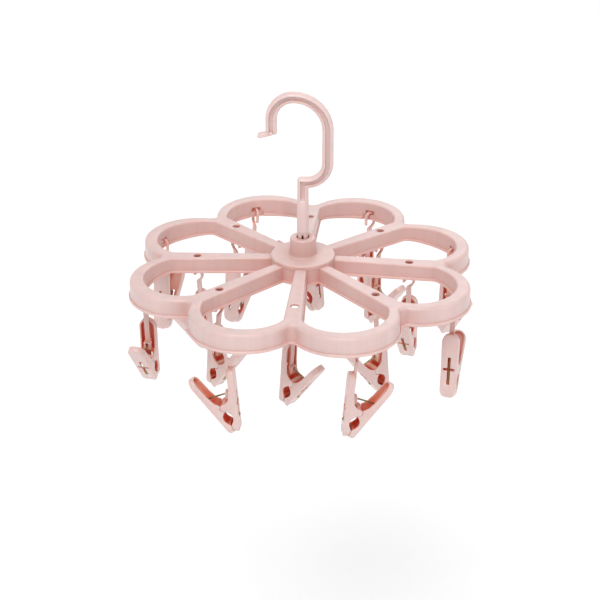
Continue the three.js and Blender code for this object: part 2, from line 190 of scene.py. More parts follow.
def stretch(a, b, n):
    """n points from a towards b, without b."""
    t = np.linspace(0, 1, n, endpoint=False)[:, None]
    return np.asarray(a) * (1 - t) + np.asarray(b) * t


def offset(loop, inset):
    """A closed counter-clockwise loop moved inwards, corners kept sharp."""
    ahead = np.roll(loop, -1, 0) - loop
    ahead /= np.linalg.norm(ahead, axis=1)[:, None]
    behind = np.roll(ahead, 1, 0)
    along = ahead + behind
    along /= np.linalg.norm(along, axis=1)[:, None]
    inwards = np.stack([-along[:, 1], along[:, 0]], 1)
    return loop + inset * inwards / np.maximum(0.35, (along * ahead).sum(1))[:, None]


def inside(points, loops):
    """Even-odd test of each point against closed loops."""
    odd = np.zeros(len(points), bool)
    for loop in loops:
        x0, y0 = loop[:, 0], loop[:, 1]
        x1, y1 = np.roll(x0, -1), np.roll(y0, -1)
        for i, (x, y) in enumerate(points):
            cross = (y0 > y) != (y1 > y)
            at = x0[cross] + (y - y0[cross]) / (y1[cross] - y0[cross]) * (x1[cross] - x0[cross])
            odd[i] ^= bool((at > x).sum() % 2)
    return odd


def triangles(loops, seeds=()):
    """Triangles between closed 2-D loops, as indices into the loops' points followed by the seeds."""
    co = np.concatenate([*loops, np.reshape(seeds, (-1, 2))])
    edges, start = [], 0
    for loop in loops:
        n = len(loop)
        edges += [(start + i, start + (i + 1) % n) for i in range(n)]
        start += n
    _, _, faces, origin, _, _ = delaunay_2d_cdt([Vector(c) for c in co], edges, [], 0, 1e-5, True)
    faces = np.array([[origin[v][0] for v in face] for face in faces])
    return faces[inside(co[faces].mean(1), loops)]


# ---- Shells: closed meshes made of rings of points
class Shell:
    """Vertices in millimetres and faces of one closed mesh."""

    def __init__(self):
        self.points, self.faces = [], []

    def ring(self, points):
        start = len(self.points)
        self.points.extend(np.asarray(points, float).tolist())
        return list(range(start, len(self.points)))

    def skin(self, rings):
        """Quads between each ring and the next."""
        for a, b in zip(rings, rings[1:]):
            n = len(a)
            self.faces += [(a[i], a[(i + 1) % n], b[(i + 1) % n], b[i]) for i in range(n)]

    def fill(self, rings, flat, lift=None, seeds=()):
        """Triangles between closed rings, seen in 2-D by flat(point), with extra points lifted to 3-D."""
        ids = [i for r in rings for i in r] + self.ring([lift(*s) for s in seeds])
        loops = [np.array([flat(self.points[i]) for i in r]) for r in rings]
        self.faces += [tuple(ids[v] for v in t) for t in triangles(loops, seeds)]

    def object(self, name):
        mesh = bpy.data.meshes.new(name)
        mesh.from_pydata([[c * MM for c in p] for p in self.points], [], self.faces)
        return closed(mesh, name)


def closed(mesh, name):
    """A new object of the mesh, with doubled points joined and faces turned outwards."""
    b = bmesh.new()
    b.from_mesh(mesh)
    bmesh.ops.remove_doubles(b, verts=b.verts, dist=WELD)
    bmesh.ops.dissolve_degenerate(b, edges=b.edges, dist=WELD / 10)
    bmesh.ops.recalc_face_normals(b, faces=b.faces)
    b.to_mesh(mesh)
    b.free()
    obj = bpy.data.objects.new(name, mesh)
    bpy.context.scene.collection.objects.link(obj)
    return obj


def lathe(profile, n):
    """A closed profile of (radius, height) turned about Z; points on the axis close it."""
    shell = Shell()
    rings = [shell.ring([(*polar(max(r, 0), TAU * i / n), z) for i in range(n)]) for r, z in profile]
    shell.skin(rings + ([] if profile[0][0] < 1e-6 else rings[:1]))
    return shell


def rounded(r, z, radius, start, end, n=6):
    """Points of a rounded corner about (r, z), with angles in quarter turns."""
    a = np.linspace(start, end, n + 1) * TAU / 4
    return [(r + radius * math.cos(t), z + radius * math.sin(t)) for t in a]


def combine(obj, others, operation):
    """Joins other objects to obj, or cuts them from it, and removes them."""
    for other in others:
        modifier = obj.modifiers.new("join", "BOOLEAN")
        modifier.operation, modifier.solver, modifier.object = operation, "MANIFOLD", other
    evaluated = obj.evaluated_get(bpy.context.evaluated_depsgraph_get())
    mesh = bpy.data.meshes.new_from_object(evaluated)
    obj.modifiers.clear()
    obj.data = mesh
    for other in others:
        bpy.data.objects.remove(other)
    return obj


def smooth(obj, angle=32):
    obj.data.shade_smooth()
    obj.data.set_sharp_from_angle(angle=math.radians(angle))
    return obj


def prism(loop, d0, d1, place, edge=0, steps=3):
    """A closed prism of a 2-D loop from depth d0 to d1, its edges rounded. place(a, b, depth) gives 3-D."""
    turn = np.linspace(0, TAU / 4, steps + 1 if edge else 1)
    levels = [(edge * (1 - math.sin(t)), d0 + edge * (1 - math.cos(t))) for t in turn]
    levels += [(inset, d0 + d1 - depth) for inset, depth in reversed(levels)]
    outlines = [offset(loop, inset) for inset, _ in levels]
    shell = Shell()
    rings = [shell.ring([place(a, b, depth) for a, b in outline])
             for outline, (_, depth) in zip(outlines, levels)]
    shell.skin(rings)
    for end in (0, -1):
        shell.faces += [tuple(rings[end][v] for v in t) for t in triangles([outlines[end]])]
    return shell


def block(x0, x1, half, z0, z1):
    """A box that is even about the XZ plane."""
    sides = np.array([(x0, -half), (x1, -half), (x1, half), (x0, half)])
    return prism(sides, z0, z1, lambda a, b, d: (a, b, d)).object("block")


# ---- Frame
def petal_angle(k):
    return -TAU / 4 + SECTOR * (k + 0.5)


def spoke_angle(k):
    return -TAU / 4 + SECTOR * k


def flower(inset):
    half = SECTOR / 2
    reach = PETAL_R + NOTCH_R
    valley = PETAL_C * math.cos(half) + math.sqrt(reach**2 - (PETAL_C * math.sin(half)) ** 2)
    swing = math.atan2(valley * math.sin(half), valley * math.cos(half) - PETAL_C)
    parts = []
    for k in range(PETALS):
        a = petal_angle(k)
        parts.append(arc(*polar(PETAL_C, a), PETAL_R - inset, a - swing, a + swing, 56))
        turn = (a + swing + math.pi, a + SECTOR - swing + math.pi)
        parts.append(arc(*polar(valley, a + half), NOTCH_R + inset, *turn, 12)[1:-1])
    return np.concatenate(parts)


def opening(k, inset):
    """One petal's opening, counter-clockwise, with the material around it moved away by inset."""
    half = SECTOR / 2
    along, side = polar(1, half), np.array([math.sin(half), -math.cos(half)])
    foot = along * HUB_R + side * (SPOKE_HALF_HUB - inset)
    end = along * SPOKE_END + side * (SPOKE_HALF_RIM - inset)
    way = (end - foot) / np.linalg.norm(end - foot)

    def meet(cx, r):
        start = foot - np.array([cx, 0])
        b = start @ way
        return foot + way * (-b + math.sqrt(b * b - start @ start + r * r))

    outer, inner = meet(HOLE_C, HOLE_R + inset), meet(0, HUB_R - inset)
    sweep, tuck = math.atan2(outer[1], outer[0] - HOLE_C), math.atan2(inner[1], inner[0])
    mirror = np.array([1, -1])
    loop = np.concatenate([
        arc(HOLE_C, 0, HOLE_R + inset, -sweep, sweep, 64)[:-1],
        stretch(outer, inner, 26),
        arc(0, 0, HUB_R - inset, tuck, -tuck, 8)[:-1],
        stretch(inner * mirror, outer * mirror, 26),
    ])
    c, s = math.cos(petal_angle(k)), math.sin(petal_angle(k))
    return loop @ np.array([[c, s], [-s, c]])


def crowned(x, y, z, relief):
    """The point raised as the spokes climb to the hub; relief raises the underside."""
    r = math.hypot(x, y)
    top = CROWN * min(1, max(0, (CROWN_END - r) / (CROWN_END - HUB_R)))
    inwards = min(1, max(0, (r - HUB_R) / (SPOKE_END - HUB_R)))
    level = RELIEF_HUB + (RELIEF_RIM - RELIEF_HUB) * inwards
    fade = min(1, max(0, (HOLE_C + HOLE_R - r) / (HOLE_C + HOLE_R - SPOKE_END)))
    down = min(1, max(0, -z / RIM_H))
    lift = level * fade * fade * (3 - 2 * fade) if relief else 0
    return (x, y, z + top * (1 - down) + lift * down)


def channel_section(top_round):
    """(inset, height) pairs of one channel wall, from the ceiling inside round the foot to the top face."""
    ceiling = [(WALL + 0.8 * (1 - math.sin(t)), -PLATE - 0.8 * (1 - math.cos(t)))
               for t in np.linspace(0, TAU / 4, 4)]
    foot = [(WALL, -6), (WALL, -10), (WALL, 0.2 - RIM_H), (WALL - 0.2, -RIM_H), (0.3 - LIP, -RIM_H),
            (-LIP, 0.3 - RIM_H), (-LIP, LIP_TOP - 0.35), (0.35 - LIP, LIP_TOP), (-0.2, LIP_TOP + 0.05),
            (0, LIP_TOP + 0.3), (0, -9), (0, -5)]
    edge = [(top_round * (1 - math.cos(t)), -top_round * (1 - math.sin(t)))
            for t in np.linspace(0, TAU / 4, 8)]
    return ceiling + foot + edge


def hub_profile():
    """Half section of the hub: its boss, its disc, the collar and the bore."""
    d, c = DISC_ROUND, COLLAR_ROUND
    outside = [(COLLAR_R, BOSS_BOTTOM), (COLLAR_R, CROWN - d), (DISC_R - 0.6, CROWN - d),
               (DISC_R, CROWN - 0.6)]
    outside += rounded(DISC_R - d, DISC_TOP - d, d, 0, 1) + rounded(COLLAR_FOOT + d, DISC_TOP + d, d, 3, 2)
    outside += [(COLLAR_R + 0.3, 12)] + rounded(COLLAR_R - c, COLLAR_TOP - c, c, 0, 1)
    bore = [(BORE_R + 0.5, COLLAR_TOP), (BORE_R + 0.1, COLLAR_TOP - 0.2), (BORE_R, COLLAR_TOP - 0.6),
            (BORE_R, BOSS_BOTTOM + 0.4), (BORE_R + 0.4, BOSS_BOTTOM)]
    return outside + bore


def make_frame():
    shell = Shell()
    tops, ceilings = [], []
    walls = [(flower, OUTER_ROUND, False)]
    walls += [(lambda inset, k=k: opening(k, inset), INNER_ROUND, True) for k in range(PETALS)]
    for outline, top_round, relief in walls:
        rings = [shell.ring([crowned(x, y, z, relief) for x, y in outline(inset)])
                 for inset, z in channel_section(top_round)]
        shell.skin(rings)
        ceilings.append(rings[0])
        tops.append(rings[-1])
    holes = [(polar(EYELET_R, spoke_angle(k)), EYELET_HOLE_R) for k in range(PETALS)] + [((0, 0), HUB_GAP_R)]
    for (x, y), r in holes:
        section = [(0, -PLATE), (0, -0.3), (0.1, -0.1), (0.3, 0)]
        rings = [shell.ring([crowned(*p, z, True) for p in arc(x, y, r + d, 0, TAU, 24)[:-1]])
                 for d, z in section]
        shell.skin(rings)
        ceilings.append(rings[0])
        tops.append(rings[-1])
    seeds = [polar(r, spoke_angle(k)) for k in range(PETALS) for r in SPOKE_SEEDS if abs(r - EYELET_R) > 5]
    shell.fill(tops, lambda p: p[:2], lambda x, y: crowned(x, y, 0, True), seeds)
    shell.fill(ceilings, lambda p: p[:2], lambda x, y: crowned(x, y, -PLATE, True), seeds)
    body = shell.object("frame_body")

    joined = [lathe(hub_profile(), 96).object("hub")]
    cutters = []
    for k in range(PETALS):
        turn = Matrix.Rotation(spoke_angle(k), 4, "Z")
        ring = arc(0, BAR_TOP - BAR_R, BAR_R, 0, TAU, 20)[:-1]
        bar = prism(ring, -BAR_HALF, BAR_HALF, lambda a, b, d: (EYELET_R + a, d, b)).object(f"bar_{k}")
        bar.data.transform(turn)
        joined.append(bar)
        wall = HOLE_C + HOLE_R
        slot = block(wall - 2.5, wall + WALL + 1, SLOT_WIDTH / 2, STRIP_TOP, STRIP_TOP + SLOT_HEIGHT)
        lip_gap = block(wall - 3, wall, 6, -RIM_H - 1, STRIP_TOP)
        for cutter in (slot, lip_gap):
            cutter.data.transform(Matrix.Rotation(petal_angle(k), 4, "Z"))
            cutters.append(cutter)
    combine(body, joined, "UNION")
    combine(body, cutters, "DIFFERENCE")
    body.data.transform(Matrix.Translation((0, 0, rim_top * MM)))
    return smooth(body)


# ---- Hook
def hook_section(groove):
    """The bar's outline: a circle whose front and back are grooved, as (sideways, front-back) points."""
    edge = math.acos((GROOVE_HALF + 0.35) / HOOK_R)
    quarter = [(HOOK_R * math.cos(t), HOOK_R * math.sin(t)) for t in np.linspace(0, edge, 9)]
    rim = math.sqrt(HOOK_R**2 - GROOVE_HALF**2)
    groove_side = [(GROOVE_HALF + 0.12, rim - 0.12), (GROOVE_HALF, rim - 0.45),
                   (GROOVE_HALF - 0.05, WEB_HALF + 0.5), (GROOVE_HALF - 0.2, WEB_HALF + 0.12),
                   (GROOVE_HALF - 0.6, WEB_HALF), (0.5, WEB_HALF)]
    for a, deep in groove_side:
        plain = math.sqrt(HOOK_R**2 - a * a)
        quarter.append((a, plain + (deep - plain) * groove))
    half = quarter + [(-a, b) for a, b in reversed(quarter)][:-1]
    return np.array(half + [(-a, -b) for a, b in half])


def along_bar(x, z, heading):
    """Where a point of the section lies when the bar's centre is at (x, z), from its distance sideways."""
    return lambda a: (x + a * math.sin(heading), z - a * math.cos(heading))


def in_corner(turn):
    """The same where the stem meets the arm: mitred, with only the outside rounded."""
    def at(a):
        r = max(0, CORNER_R - HOOK_R - a)
        return (a + r * (1 - math.cos(turn)), ARM_Z - a - r * (1 - math.sin(turn)))
    return at


def hook_stations():
    """Sections along the bar, as (radius, groove depth, place in the hook's plane)."""
    quarter = TAU / 4
    stem = [(-10.5, 2.4), (-10.2, 2.8), (BOSS_BOTTOM - 2.2, BARB_R - 0.1), (BOSS_BOTTOM - 1.8, BARB_R),
            (BOSS_BOTTOM - RUN - 0.2, BARB_R), (BOSS_BOTTOM - RUN, BARB_R - 0.2), (BOSS_BOTTOM - RUN, NECK_R),
            (0, NECK_R), (10, NECK_R), (STEM_FOOT - 0.2, NECK_R), (STEM_FOOT - 0.1, 4.2),
            (STEM_FOOT + 0.2, 4.45), (STEM_FOOT + 0.6, 4.5), (30, 4.42), (40, 4.3),
            (STEM_ROUND_TOP - 0.5, HOOK_R)]
    stations = [(r, 0, along_bar(0, z, quarter)) for z, r in stem]
    for t in np.linspace(0, 1, 8)[1:]:
        z = STEM_ROUND_TOP - 0.5 + 1.8 * t
        stations.append((HOOK_R, t * t * (3 - 2 * t), along_bar(0, z, quarter)))
    cx = REACH_X - CROWN_R
    bar = [along_bar(0, z, quarter) for z in (53, 56, 58.5)]
    bar += [in_corner(t) for t in np.linspace(0, quarter, 9)]
    bar += [along_bar(REACH_X - ELBOW_R + ELBOW_R * math.sin(t), ARM_Z + ELBOW_R * (1 - math.cos(t)), t)
            for t in np.linspace(0.12, quarter, 20)]
    bar += [along_bar(REACH_X, z, quarter) for z in (84, 89, 94, 99)]
    bar += [along_bar(cx + CROWN_R * math.cos(t), CROOK_Z + CROWN_R * math.sin(t), t + quarter)
            for t in np.linspace(0, quarter, 28)]
    nose_z = CROOK_Z + CROWN_R - NOSE_R
    bar += [along_bar(cx + NOSE_R * math.cos(t), nose_z + NOSE_R * math.sin(t), t + quarter)
            for t in np.linspace(quarter, 2 * quarter, 22)[1:]]
    bar += [along_bar(cx - NOSE_R, z, -quarter) for z in (CROOK_Z + 5, CROOK_Z + 1, NOSE_END + 0.5)]
    stations += [(HOOK_R, 1, at) for at in bar]
    return stations + [(HOOK_R - 0.4, 1, along_bar(cx - NOSE_R, NOSE_END, -quarter))]


def make_hook():
    shell = Shell()
    rings = []
    for radius, groove, at in hook_stations():
        places = [(at(a), b) for a, b in hook_section(groove) * radius / HOOK_R]
        rings.append(shell.ring([(x, b, z) for (x, z), b in places]))
    shell.skin(rings)
    n = len(rings[0])
    for r in (rings[0], rings[-1]):
        half = n // 2
        for i in range(half - 1):
            shell.faces.append((r[i], r[i + 1], r[(n - 2 - i) % n], r[n - 1 - i]))
    bar = shell.object("hook_body")
    slab = np.concatenate([arc(0, 0, TAB_THICK / 2, -TAU / 4, TAU / 4, 12),
                           arc(-TAB_LENGTH, 0, TAB_THICK / 2, TAU / 4, 3 * TAU / 4, 12)])
    tab = prism(slab, -TAB_WIDE / 2, TAB_WIDE / 2, lambda a, b, d: (a, d, b), 0.5).object("tab")
    nose = Vector((REACH_X - CROWN_R - NOSE_R, 0, NOSE_END + 0.6)) * MM
    tab.data.transform(Matrix.Translation(nose) @ Matrix.Rotation(-TAB_DROOP, 4, "Y"))
    combine(bar, [tab], "UNION")
    combine(bar, [block(-SPLIT / 2, SPLIT / 2, 8, -12, STEM_FOOT - 1.6)], "DIFFERENCE")
    bar.data.transform(Matrix.Translation((0, 0, rim_top * MM)))
    return smooth(bar, 35)


# ---- Jaws. Points are depth from the outer face, across, and along from the tip.
def on_jaw(across, along, depth):
    return (depth - SOLE, across, along - PIVOT_S)


def half_width(s):
    width = JAW_WAIST + (JAW_HALF - JAW_WAIST) * min(1, max(0, (s - 18) / 18)) ** 2
    if s < TIP_ROUND:
        width = TIP_FLAT + (width - TIP_FLAT) * math.sqrt(max(0, 1 - (1 - s / TIP_ROUND) ** 2))
    return width


def meeting_depth(s, hooked):
    """Depth of the side walls' edge at s: the jaws' meeting plane, the lens, the pivot or the handle."""
    plane = TIP_DEPTH + s * math.tan(SPLAY / 2) - RUN / 2
    away = s - PIVOT_S
    if hooked and abs(away) < BOSS_R:
        return SOLE + math.sqrt(BOSS_R**2 - away**2)
    if not hooked and SEAT_SPAN[0] < away < SEAT_SPAN[1]:
        return SOLE - math.sqrt((BOSS_R + RUN) ** 2 - away**2)
    if s < NIP:
        return plane
    if s < LENS_TOP:
        t = (s - NIP) / (LENS_TOP - NIP)
        return plane - LENS_DEEP * math.sin(math.pi * t**1.35) ** 0.65
    if s < PIVOT_S:
        return plane
    start = SOLE - (HOOKED_STEP if hooked else PLAIN_STEP)
    knots = [(PIVOT_S + BOSS_R, start), (25, 7.0), (27, 5.9), (34, 4.9), (JAW_L, 4.2)]
    return float(np.interp(s, *zip(*knots)))


def jaw_levels():
    fine = [PIVOT_S + d for d in np.arange(-2.75, 2.76, 0.25)]
    tip = [TIP_ROUND * (1 - math.cos(t)) for t in np.linspace(0, TAU / 4, 9)]
    coarse = [s for s in np.arange(TIP_ROUND + 0.6, JAW_L - JAW_HALF, 0.8) if abs(s - PIVOT_S) > 2.9]
    return np.array(sorted(tip + fine + coarse))


def jaw_outline():
    s = jaw_levels()
    right = np.stack([[half_width(v) for v in s], s], 1)
    handle = arc(0, JAW_L - JAW_HALF, JAW_HALF, 0, TAU / 2, 28)
    left = right[::-1] * [-1, 1]
    foot = stretch(left[-1], right[0], 4)[1:]
    return np.concatenate([right, handle, left, foot])


def cavity_outline():
    s = jaw_levels()
    s = s[s > NIP + 1.4]
    right = np.stack([[half_width(v) - JAW_WALL for v in s], s], 1)
    handle = arc(0, JAW_L - JAW_HALF, JAW_HALF - JAW_WALL, 0, TAU / 2, 24)
    left = right[::-1] * [-1, 1]
    foot_s, half = NIP + 1, half_width(NIP) - JAW_WALL
    corner = [(half - 0.4, foot_s), (0.0, foot_s), (0.4 - half, foot_s)][::-1]
    return np.concatenate([right, handle, left, corner])


def slots_outline():
    """The long slot crossed by the short one, as one loop."""
    (v, h), (lo, hi), (s0, s1) = CROSS_HALF, CROSS_LONG, CROSS_WIDE
    right = [(v, lo), (v, s0), (h, s0), (h, s1), (v, s1), (v, hi)]
    return np.array(right + [(-a, b) for a, b in reversed(right)])


def make_jaw(name, hooked):
    shell = Shell()
    outline, cavity, slots = jaw_outline(), cavity_outline(), slots_outline()
    face_round, lip = 0.9, 0.22

    def ring(loop, inset, depth):
        moved = offset(loop, inset)
        return shell.ring([on_jaw(a, b, depth(a, b)) for a, b in moved])

    def outer(depth):
        return lambda a, b: max(depth, (1.6 - b) * 0.69)

    def edge(drop):
        return lambda a, b: meeting_depth(min(JAW_L, max(0, b)), hooked) - drop

    turn = np.linspace(0, TAU / 4, 6)
    skin = [ring(outline, face_round * (1 - math.sin(t)), outer(face_round * (1 - math.cos(t))))
            for t in turn]
    skin += [ring(outline, 0, edge(lip)), ring(outline, 0.07, edge(0.07)), ring(outline, lip, edge(0))]
    shell.skin(skin)
    inner = [ring(cavity, -lip, edge(0)), ring(cavity, 0, edge(lip))]
    inner += [ring(cavity, 0.25 * (1 - math.cos(t)), lambda a, b, t=t: JAW_WALL + 0.25 * (1 - math.sin(t)))
              for t in np.linspace(0, TAU / 4, 4)]
    shell.skin(inner)
    mouth = [ring(slots, inset, lambda a, b, depth=depth: depth)
             for inset, depth in ((-0.15, 0), (0, 0.15), (0, JAW_WALL))]
    shell.skin(mouth)

    def flat(p):
        return (p[1], p[2])

    shell.fill([skin[0], mouth[0]], flat)
    shell.fill([skin[-1], inner[0]], flat)
    shell.fill([inner[-1], mouth[-1]], flat)
    return shell.object(name)


def arm_outline():
    """The arm and its crook, seen from the jaw's open side."""
    top = JAW_L + ARM_DROP - LOOP_INNER
    end = top - LOOP_FREE
    outside = arc(0, top, LOOP_OUTER, TAU / 2, 0, 28)
    inner = arc(0, top, LOOP_INNER, 0, TAU / 2, 24)
    crook = [(LOOP_OUTER, top - 5.0), (LOOP_OUTER - 0.25, top - 6.4), (LOOP_OUTER - 1.4, top - 8.6),
             (ARM_HALF + 0.2, top - 10), (ARM_HALF, top - 11)]
    foot = [(ARM_HALF, ARM_FOOT + SADDLE_TOP + 1.5), (SADDLE_HALF, ARM_FOOT + SADDLE_TOP),
            (SADDLE_HALF, ARM_FOOT)]
    back = [(-ARM_HALF, top - 11.6), (-ARM_HALF + 0.3, top - 10.6), (LOOP_INNER - 1.6, top - 8.2),
            (LOOP_INNER - 0.3, top - 6.8), (LOOP_INNER, top - 5.6)]
    free = [(-LOOP_INNER, end + 4), (-2.35, end + 3.4), (-2.6, end + 2.6), (-3.6, end + 2), (-4.4, end + 2.3),
            (-LOOP_OUTER, end + 3)]
    down = crook + foot + [(-a, b) for a, b in reversed(foot)] + back
    return np.concatenate([outside, down, inner, free])[::-1]


def rectangle(half, s0, s1):
    return np.array([(-half, s0), (half, s0), (half, s1), (-half, s1)])


def make_hooked_jaw():
    jaw = make_jaw("hooked_jaw_shape", True)
    near, far = ARM_DEPTH - ARM_THICK / 2, ARM_DEPTH + ARM_THICK / 2
    arm = prism(arm_outline(), near, far, on_jaw, 0.3).object("arm")
    web = prism(rectangle(5.4, ARM_FOOT - 0.4, ARM_FOOT + 2.6), near, far, on_jaw).object("web")
    saddle = prism(rectangle(SADDLE_HALF, ARM_FOOT + 2.6, ARM_FOOT + SADDLE_TOP), ARM_DEPTH, far + SADDLE_OUT,
                   on_jaw, 0.5).object("saddle")
    width = JAW_WAIST - JAW_WALL + 0.5
    circle = arc(0, 0, ROLLER_R, 0, TAU, 32)[:-1]
    roller = prism(circle, -width, width, lambda a, b, d: (a, d, b)).object("roller")
    combine(jaw, [arm, web, saddle, roller], "UNION")
    rise = WIRE_LIFT / math.cos(SPLAY / 2) + (SOLE - ARM_DEPTH) * math.tan(SPLAY / 2) + PIVOT_S
    circle = arc(0, rise, EYE_R, 0, TAU, 24)[:-1]
    eye = prism(circle, near - 2, far + SADDLE_OUT + 2, on_jaw).object("eye")
    return smooth(combine(jaw, [eye], "DIFFERENCE"))


# ---- Spring
def spring_line():
    """The wire's centre line about the pivot, in the hooked jaw's coordinates."""
    lean = SPLAY / 2
    leg = [(-0.5, 12.4), (0.4, 14.2), (1.7, 17), (2, 21), (2, 26), (2.2, 28.6), (3, 30.3)]
    c, s = math.cos(lean), math.sin(lean)
    left = [((d - SOLE) * c - (a - PIVOT_S) * s, (d - SOLE) * s + (a - PIVOT_S) * c) for d, a in leg]
    knots = np.array(left + [(0, WIRE_LIFT)] + [(-x, z) for x, z in reversed(left)])
    points = []
    padded = np.concatenate([knots[:1] * 2 - knots[1:2], knots, knots[-1:] * 2 - knots[-2:-1]])
    for p0, p1, p2, p3 in zip(padded, padded[1:], padded[2:], padded[3:]):
        for t in np.linspace(0, 1, 8, endpoint=False):
            points.append(0.5 * (2 * p1 + (p2 - p0) * t + (2 * p0 - 5 * p1 + 4 * p2 - p3) * t * t
                                 + (3 * p1 - p0 - 3 * p2 + p3) * t**3))
    points.append(knots[-1])
    return np.array([(x * c + z * s, z * c - x * s) for x, z in points])


def make_spring(name):
    shell = Shell()
    line = spring_line()
    way = np.gradient(line, axis=0)
    way /= np.linalg.norm(way, axis=1)[:, None]
    caps = [(-0.25, 0.55), (-0.08, 0.9)]
    stations = [(line[0] + way[0] * d, way[0], k) for d, k in caps] + [(p, w, 1) for p, w in zip(line, way)]
    stations += [(line[-1] - way[-1] * d, way[-1], k) for d, k in reversed(caps)]
    rings = []
    for (x, z), (wx, wz), k in stations:
        circle = arc(0, 0, WIRE_R * k, 0, TAU, 12)[:-1]
        rings.append(shell.ring([(x - wz * a, b, z + wx * a) for a, b in circle]))
    shell.skin(rings)
    shell.faces += [tuple(rings[0]), tuple(rings[-1])]
    return smooth(shell.object(name), 60)


# ---- Materials
def node(tree, kind, inputs=(), **settings):
    made = tree.nodes.new(kind)
    for key, value in settings.items():
        setattr(made, key, value)
    for key, value in dict(inputs).items():
        if isinstance(value, bpy.types.NodeSocket):
            tree.links.new(value, made.inputs[key])
        else:
            made.inputs[key].default_value = value
    return made


def noise(tree, scale, detail=3.0, roughness=0.5, stretch_by=None):
    where = node(tree, "ShaderNodeTexCoord").outputs["Object"]
    if stretch_by:
        where = node(tree, "ShaderNodeMapping", {"Vector": where, "Scale": stretch_by}).outputs["Vector"]
    made = node(tree, "ShaderNodeTexNoise", {"Vector": where, "Scale": scale, "Detail": detail,
                                             "Roughness": roughness})
    return made.outputs["Fac"]


def spread(tree, value, low, high):
    made = node(tree, "ShaderNodeMapRange", {"Value": value, "From Min": 0.3, "From Max": 0.7, "To Min": low,
                                             "To Max": high})
    return made.outputs["Result"]


def ramp(tree, value, stops):
    made = node(tree, "ShaderNodeValToRGB", {"Fac": value})
    elements = made.color_ramp.elements
    while len(elements) < len(stops):
        elements.new(0.5)
    for element, (position, colour) in zip(elements, stops):
        element.position, element.color = position, (*colour, 1)
    return made.outputs["Color"]


# Painted shade and light: tints of the plastic by how open the surface is to ambient occlusion, from shut in
# (darker, redder) to open (lighter)
FRAME_PAINTED_SHADE = [(0, (1, 0.4, 0.3)), (0.3, (0.94, 0.7, 0.65)), (0.75, (0.94, 0.83, 0.81)),
                (0.97, (1.01, 1.01, 1.02))]
HOOK_PAINTED_SHADE = [(0, (0.97, 0.7, 0.65)), (0.35, (1.04, 1.03, 1.03)), (0.8, (1.08, 1.12, 1.14))]
CLIP_PAINTED_SHADE = [(0, (1.15, 0.15, 0.04)), (0.35, (1.02, 0.56, 0.4)), (0.6, (1, 0.78, 0.68)), (0.9, (1, 1, 1))]


def multiply(tree, first, second):
    made = node(tree, "ShaderNodeMixRGB", {"Fac": 1, "Color1": first, "Color2": second},
                blend_type="MULTIPLY")
    return made.outputs["Color"]


def pink_plastic(name, reach, painted_shade_tints):
    """Moulded polypropylene: soft gloss, faint flow clouds and upright drag lines on the walls.

    It is slightly clear, and its colour carries painted shade and light: ambient occlusion within reach
    darkens and reddens it in hollows and lightens it on open faces, by the given tints from shut in to open.
    """
    material = bpy.data.materials.new(name)
    material.use_nodes = True
    tree = material.node_tree
    shader = tree.nodes["Principled BSDF"]
    clouds = ramp(tree, noise(tree, 22), [(0.3, (0.70, 0.525, 0.495)), (0.7, (0.73, 0.560, 0.530))])
    # Painted shade: ambient occlusion picks tints that darken and redden hollows and lighten open faces
    occlusion_for_painted_shade = node(tree, "ShaderNodeAmbientOcclusion", {"Distance": reach}, samples=8).outputs["AO"]
    # depth here is the painted shade and light tint picked by occlusion, not a real depth
    depth = ramp(tree, occlusion_for_painted_shade, painted_shade_tints)
    drag = spread(tree, noise(tree, 120, 2, 0.6, (1, 1, 0.04)), 0.955, 1.03)
    colour = multiply(tree, multiply(tree, clouds, depth), drag)
    tree.links.new(colour, shader.inputs["Base Color"])
    tree.links.new(spread(tree, noise(tree, 260), 0.28, 0.38), shader.inputs["Roughness"])
    shader.inputs["Subsurface Weight"].default_value = 0.5
    shader.inputs["Subsurface Radius"].default_value = (1.0, 0.35, 0.2)
    shader.inputs["Subsurface Scale"].default_value = 0.0025
    grain = node(tree, "ShaderNodeBump", {"Height": noise(tree, 1500, 2), "Strength": 0.04,
                                          "Distance": 0.0002})
    sink = node(tree, "ShaderNodeBump", {"Height": noise(tree, 60, 1), "Strength": 0.12, "Distance": 0.0006,
                                         "Normal": grain.outputs["Normal"]})
    tree.links.new(sink.outputs["Normal"], shader.inputs["Normal"])
    return material


def spring_wire():
    """Drawn spring steel with a yellowish film and fine lengthwise streaks."""
    material = bpy.data.materials.new("spring_wire")
    material.use_nodes = True
    tree = material.node_tree
    shader = tree.nodes["Principled BSDF"]
    colour = ramp(tree, noise(tree, 700), [(0.35, (0.20, 0.15, 0.06)), (0.65, (0.40, 0.32, 0.15))])
    tree.links.new(colour, shader.inputs["Base Color"])
    tree.links.new(spread(tree, noise(tree, 1800), 0.28, 0.5), shader.inputs["Roughness"])
    shader.inputs["Metallic"].default_value = 0.9
    streaks = node(tree, "ShaderNodeBump", {"Height": noise(tree, 900, 2, 0.6, (4, 4, 0.4)), "Strength": 0.2,
                                            "Distance": 0.0001})
    tree.links.new(streaks.outputs["Normal"], shader.inputs["Normal"])
    return material


# ---- Placing the pieces
def place(obj, material, slot, body, stands_for):
    obj.data.materials.clear()
    obj.data.materials.append(material)
    if body:
        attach(obj, body)
    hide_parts(stands_for)


def clip_pose(clip):
    """Where a clip's pivot is and how the hooked jaw is turned, from its two joints."""
    pivot = Vector(joints[f"squeeze_{clip}"]["pos_m"])
    across = -Vector(joints[f"squeeze_{clip}"]["axis"])
    hang = Vector(joints[f"swing_{clip}"]["pos_m"])
    face = math.atan2(-across.x, across.y)
    reach = pivot - hang
    flat = Matrix.Rotation(-face, 3, "Z") @ reach
    sideways = (SOLE - ARM_DEPTH) * MM
    down = math.sqrt(flat.x**2 + flat.z**2 - sideways**2)
    lean = math.atan2(sideways, down) - math.atan2(flat.x, -flat.z)
    return Matrix.Translation(pivot) @ Matrix.Rotation(face, 4, "Z") @ Matrix.Rotation(lean, 4, "Y")
